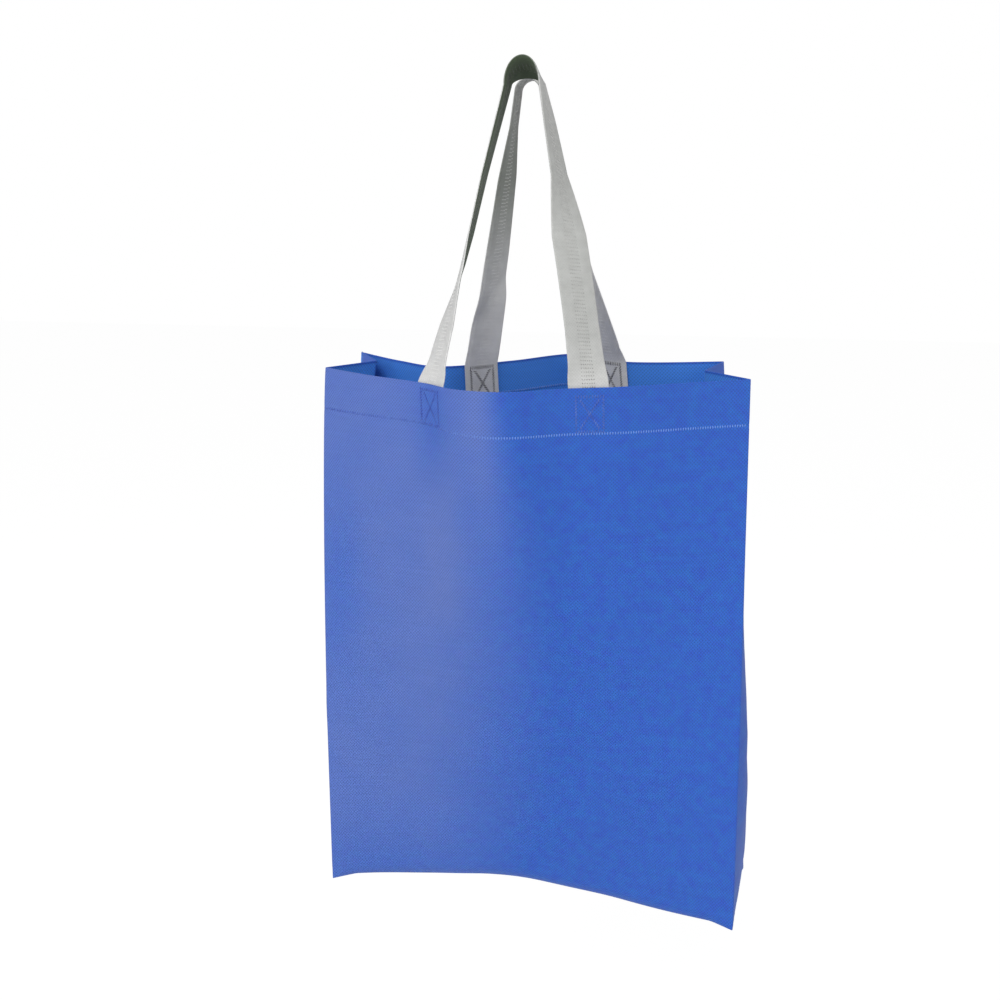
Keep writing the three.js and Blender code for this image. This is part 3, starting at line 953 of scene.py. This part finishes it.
# Each handle's end is welded on in a box with a cross in it: from, to, and the turn of its marks.
BOX_TOP = {("front", -1): 4.4, ("front", 1): 6.2, ("back", -1): 2, ("back", 1): 2}
BOX_HEIGHT, BOX_HALF = 25.5, 9.8
SIDE_END = 2.5  # how far a side stops short of the top and the foot
CROSS_HALF, CROSS_END = BOX_HALF - 3.5, 3
BOX_LINES = [
    ((-BOX_HALF, 0), (BOX_HALF, 0), 0),
    ((-BOX_HALF, BOX_HEIGHT), (BOX_HALF, BOX_HEIGHT), 0),
    ((-BOX_HALF, SIDE_END), (-BOX_HALF, BOX_HEIGHT - SIDE_END), 50),
    ((BOX_HALF, SIDE_END), (BOX_HALF, BOX_HEIGHT - SIDE_END), -50),
    ((-CROSS_HALF, CROSS_END), (CROSS_HALF, BOX_HEIGHT - CROSS_END), 50),
    ((CROSS_HALF, CROSS_END), (-CROSS_HALF, BOX_HEIGHT - CROSS_END), -50),
]
panel_boxes, strip_boxes = [], []
for face in ("front", "back"):
    for side in (-1, 1):
        middle = handle_middle(face, side)
        tone = 0.3 if (face, side) == ("front", 1) else 0.1
        top = BOX_TOP[face, side]
        for *ends, turn in BOX_LINES:
            line = straight(*[(round_place(face, middle + s), top + d) for s, d in ends])
            place, normal = surface(*line)
            panel_boxes.append((place, normal, turn, tone))
            within, _ = surface(*line, LAYERS_IN + HANDLE_THICKNESS / 2)
            strip_boxes.append((within, -normal, -turn, 0.1))
weld_marks("box_welds", panel_boxes, blue_weld, pitch=1.9, length=2.9, width=1.1, height=0.35)
weld_marks(
    "strip_end_welds", strip_boxes, grey_weld, pitch=1.75, length=3.6, width=1.1, height=0.35
)

# The seam that closes each side runs down beside the gusset's middle fold, and leaves out the hem's
# edge. The photo doesn't show it.
SEAM_ASIDE = 4
seams = []
for fold in (PANEL_WIDTH + GUSSET_DEPTH / 2, 2 * PANEL_WIDTH + 1.5 * GUSSET_DEPTH):
    for top, foot in ((2, 33), (42, PANEL_HEIGHT - ROLL - 4)):
        around, depth = straight((fold + SEAM_ASIDE, top), (fold + SEAM_ASIDE, foot))
        seams += both_sides(around, depth, 0.5, SHEET, 0.4)
weld_marks("side_seams", seams, blue_weld, pitch=2.4, length=2.4, width=0.8, height=0.18)

# The three layers of a handle are spot-welded down its middle. By the light on them, the front
# one's dots go from pale on its left leg to deep on its right one, and are deep underneath.
DOT_COLUMNS = np.array([-4.2, -2.5, -0.85, 0.85, 2.5, 4.2])
for face in ("front", "back"):
    rows, normals, outer, inner = strip_shape(face)
    above_lap = slice(LAP_STEPS, len(rows) - LAP_STEPS)
    dots = []
    for column in DOT_COLUMNS:
        k = np.searchsorted(ACROSS, column) - 1
        f = (column - ACROSS[k]) / (ACROSS[k + 1] - ACROSS[k])
        for sign, half in ((1, outer), (-1, inner)):
            sides = rows + sign * normals * half[:, None]
            line = (sides[:, k] * (1 - f) + sides[:, k + 1] * f)[above_lap]
            facing = sign * (normals[:, k] * (1 - f) + normals[:, k + 1] * f)[above_lap]
            if face == "front":
                tone = np.linspace(1.1, 0.3, len(line)) if sign > 0 else 0
            else:
                tone = 0.9
            dots.append((line, facing, 0, tone))
    weld_marks(
        f"{face}_spot_welds", dots, grey_weld, pitch=2.6, length=1.0, width=1.1, height=0.2
    )


# ---- floor, light and background


def stage_material():
    """Plain white paper. What the camera sees directly is white, and the floor keeps its shadow."""
    material, tree = new_material("white_paper")
    paper = add(tree, "ShaderNodeBsdfDiffuse", Color=linear("#FAFAFA"))
    white = add(tree, "ShaderNodeEmission", Color=(1, 1, 1, 1), Strength=1.07)
    seen = add(tree, "ShaderNodeLightPath").outputs["Is Camera Ray"]
    # The rest of what the camera sees is the lit paper, with the shadow on it.
    share = add(tree, "ShaderNodeMath", {"operation": "MULTIPLY"}, i0=seen, i1=0.86).outputs[0]
    both = add(tree, "ShaderNodeMixShader", i0=share, i1=paper.outputs[0], i2=white.outputs[0])
    add(tree, "ShaderNodeOutputMaterial", Surface=both.outputs[0])
    return material


FLOOR_Z = -940
FLOOR_HALF = 6000
floor_corners = [
    (x * FLOOR_HALF, y * FLOOR_HALF, FLOOR_Z) for x, y in ((-1, -1), (1, -1), (1, 1), (-1, 1))
]
floor = piece("floor", floor_corners, [(0, 1, 2, 3)], material=stage_material())

world = bpy.data.worlds.new("studio")
bpy.context.scene.world = world
world.use_nodes = True
tree = world.node_tree
tree.nodes.clear()
room = add(tree, "ShaderNodeBackground", Color=(1, 1, 1, 1), Strength=0.5)
white = add(tree, "ShaderNodeBackground", Color=(1, 1, 1, 1), Strength=1.0)
seen = add(tree, "ShaderNodeLightPath").outputs["Is Camera Ray"]
both = add(tree, "ShaderNodeMixShader", i0=seen, i1=room.outputs[0], i2=white.outputs[0])
add(tree, "ShaderNodeOutputWorld", Surface=both.outputs[0])


def lamp(name, place, aim, size, watts):
    data = bpy.data.lights.new(name, "AREA")
    data.size = size
    data.energy = watts
    obj = bpy.data.objects.new(name, data)
    obj.location = place
    obj.rotation_euler = (Vector(aim) - Vector(place)).to_track_quat("-Z", "Y").to_euler()
    bpy.context.scene.collection.objects.link(obj)


lamp("key_above", (-0.3, -1.9, 1.35), (0, 0, -0.25), 1.3, 38)
lamp("window_left", (-1.9, -1.3, 0.5), (0, 0, -0.3), 1.3, 10)
lamp("fill_right", (2.0, -1.0, 0.3), (0, 0, -0.3), 1.3, 9)

bpy.context.scene.view_settings.view_transform = "Standard"
